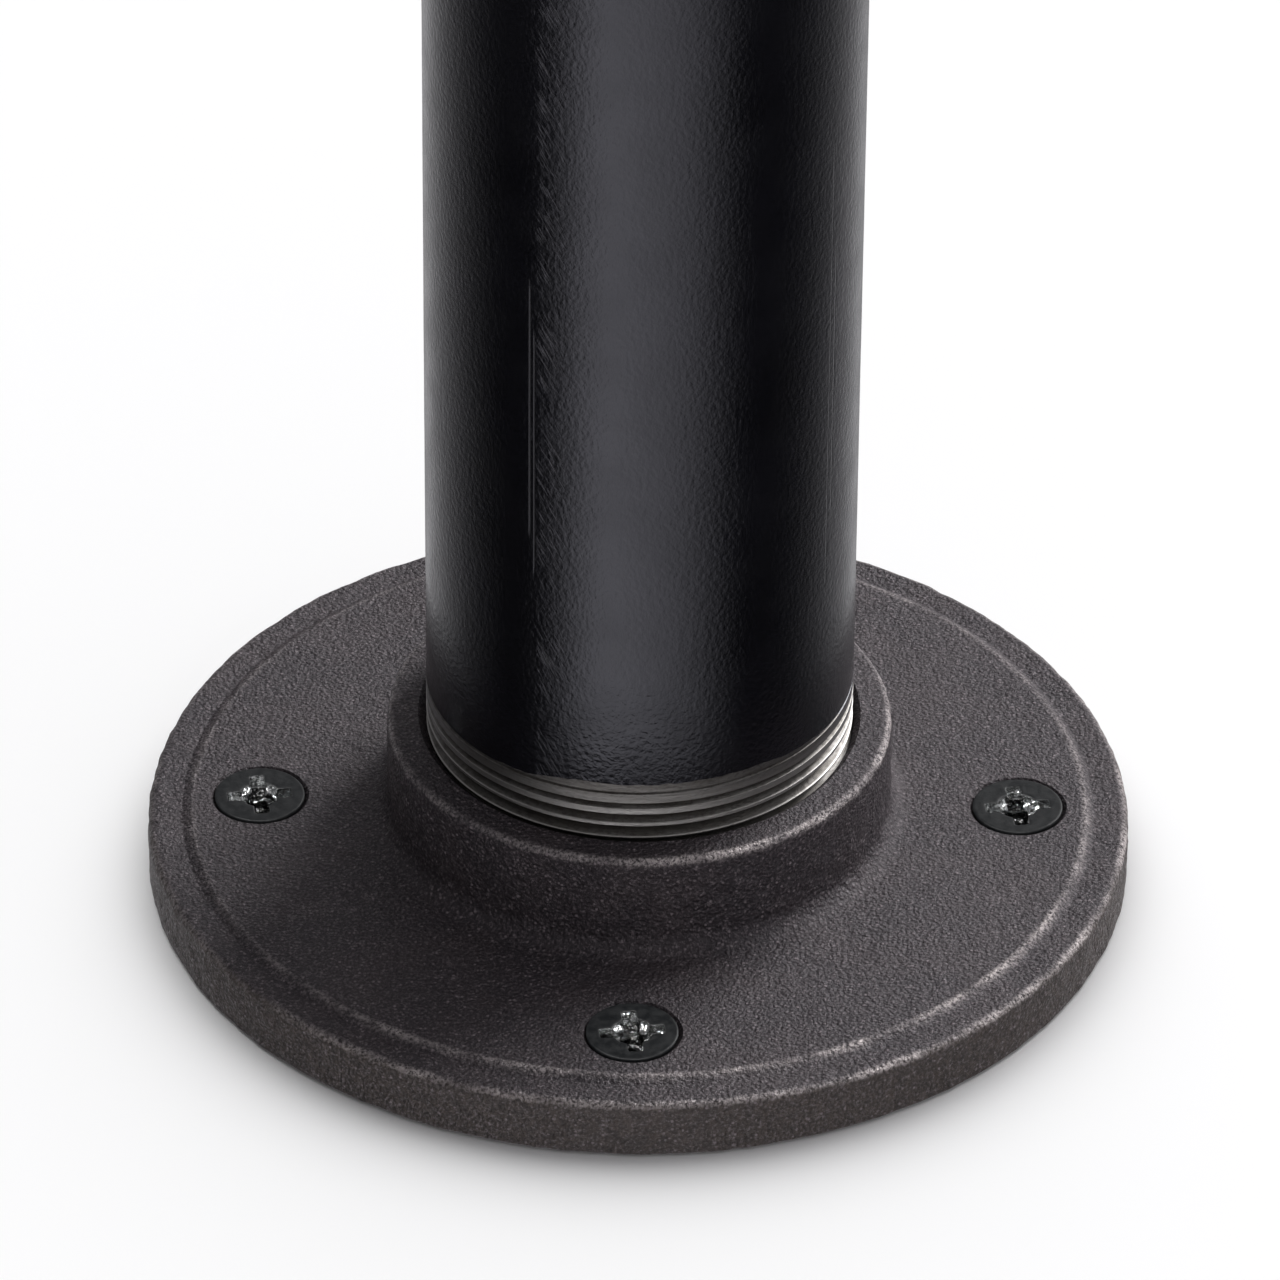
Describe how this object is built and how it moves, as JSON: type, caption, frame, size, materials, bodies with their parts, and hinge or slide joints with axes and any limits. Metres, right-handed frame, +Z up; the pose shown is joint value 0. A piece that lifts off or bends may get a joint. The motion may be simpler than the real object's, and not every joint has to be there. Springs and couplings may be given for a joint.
{
  "type": "pipe bollard post",
  "caption": "Short bollard post: a black steel pipe screwed into a round cast floor flange, with a cap on top and countersunk screws that fix it to a deck.",
  "frame": {"origin": "centre of the flange's underside, where it stands on the deck", "axes": "+Z up along the pipe, -Y towards the front screw, +X towards the right screw"},
  "size_m": [0.1396, 0.1396, 0.3598],
  "materials": {
    "raw_casting": "rough sand-cast, lightly oiled",
    "black_pipe": "black lacquer, semi-gloss, bare threads",
    "cap_casting": "rough sand-cast, lightly oiled",
    "black_screw": "black oxide, satin, glossy recess"
  },
  "bodies": {
    "root": {"floor_flange": "raw_casting", "post_pipe": "black_pipe", "end_cap": "cap_casting", "deck_screw_front": "black_screw", "deck_screw_left": "black_screw", "deck_screw_right": "black_screw", "deck_screw_rear": "black_screw"}
  },
  "joints": []
}
